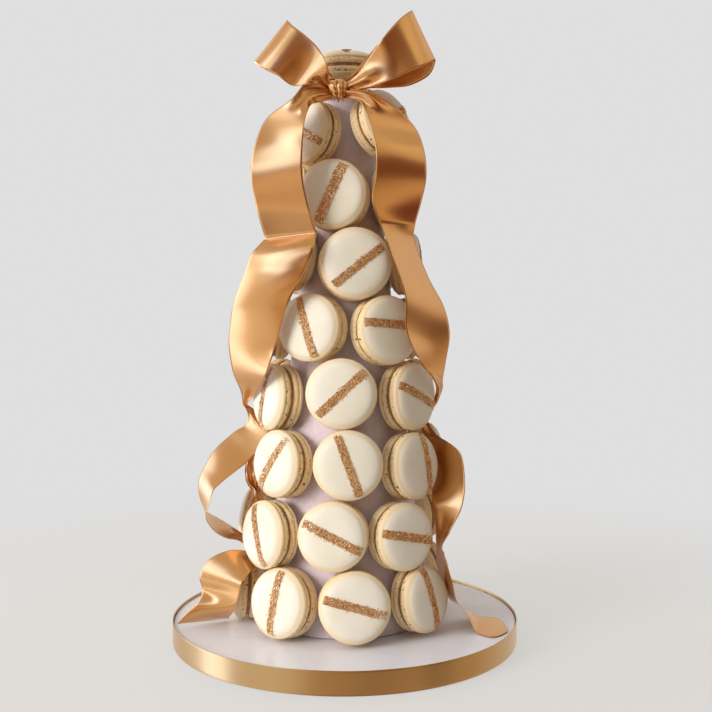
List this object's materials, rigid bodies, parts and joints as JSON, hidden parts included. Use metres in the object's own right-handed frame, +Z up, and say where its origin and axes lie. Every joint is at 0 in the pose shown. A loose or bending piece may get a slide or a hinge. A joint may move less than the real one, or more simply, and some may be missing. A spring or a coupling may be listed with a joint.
{
  "type": "macaron tower",
  "caption": "Cone of cream macarons, each with a stripe of gold glitter, on a round white cake board with a gold edge, tied with a wide satin ribbon.",
  "frame": {"origin": "middle of the board's underside, on the surface that the tower stands on", "axes": "+Z up the tower; -Y is its front, where the bow is; +X is to the right seen from the front"},
  "size_m": [0.2302, 0.2302, 0.4042],
  "materials": {
    "icing": "smooth white icing",
    "band_satin": "gold satin",
    "foam": "white foam",
    "shell": "smooth ivory macaron shell",
    "satin": "copper-gold satin"
  },
  "bodies": {
    "root": {"cake_board": "icing", "board_ribbon": "band_satin", "cone": "foam", "macaron_1_1": "shell", "macaron_1_2": "shell", "macaron_1_3": "shell", "macaron_1_4": "shell", "macaron_1_5": "shell", "macaron_1_6": "shell", "macaron_1_7": "shell", "macaron_1_8": "shell", "macaron_2_1": "shell", "macaron_2_2": "shell", "macaron_2_3": "shell", "macaron_2_4": "shell", "macaron_2_5": "shell", "macaron_2_6": "shell", "macaron_2_7": "shell", "macaron_3_1": "shell", "macaron_3_2": "shell", "macaron_3_3": "shell", "macaron_3_4": "shell", "macaron_3_5": "shell", "macaron_3_6": "shell", "macaron_3_7": "shell", "macaron_4_1": "shell", "macaron_4_2": "shell", "macaron_4_3": "shell", "macaron_4_4": "shell", "macaron_4_5": "shell", "macaron_4_6": "shell", "macaron_5_1": "shell", "macaron_5_2": "shell", "macaron_5_3": "shell", "macaron_5_4": "shell", "macaron_5_5": "shell", "macaron_5_6": "shell", "macaron_6_1": "shell", "macaron_6_2": "shell", "macaron_6_3": "shell", "macaron_6_4": "shell", "macaron_6_5": "shell", "macaron_7_1": "shell", "macaron_7_2": "shell", "macaron_7_3": "shell", "macaron_7_4": "shell", "macaron_7_5": "shell", "macaron_8_1": "shell", "macaron_8_2": "shell", "macaron_8_3": "shell", "macaron_8_4": "shell", "macaron_top": "shell", "bow_ribbon": "satin", "ribbon_strand": "satin"}
  },
  "joints": []
}
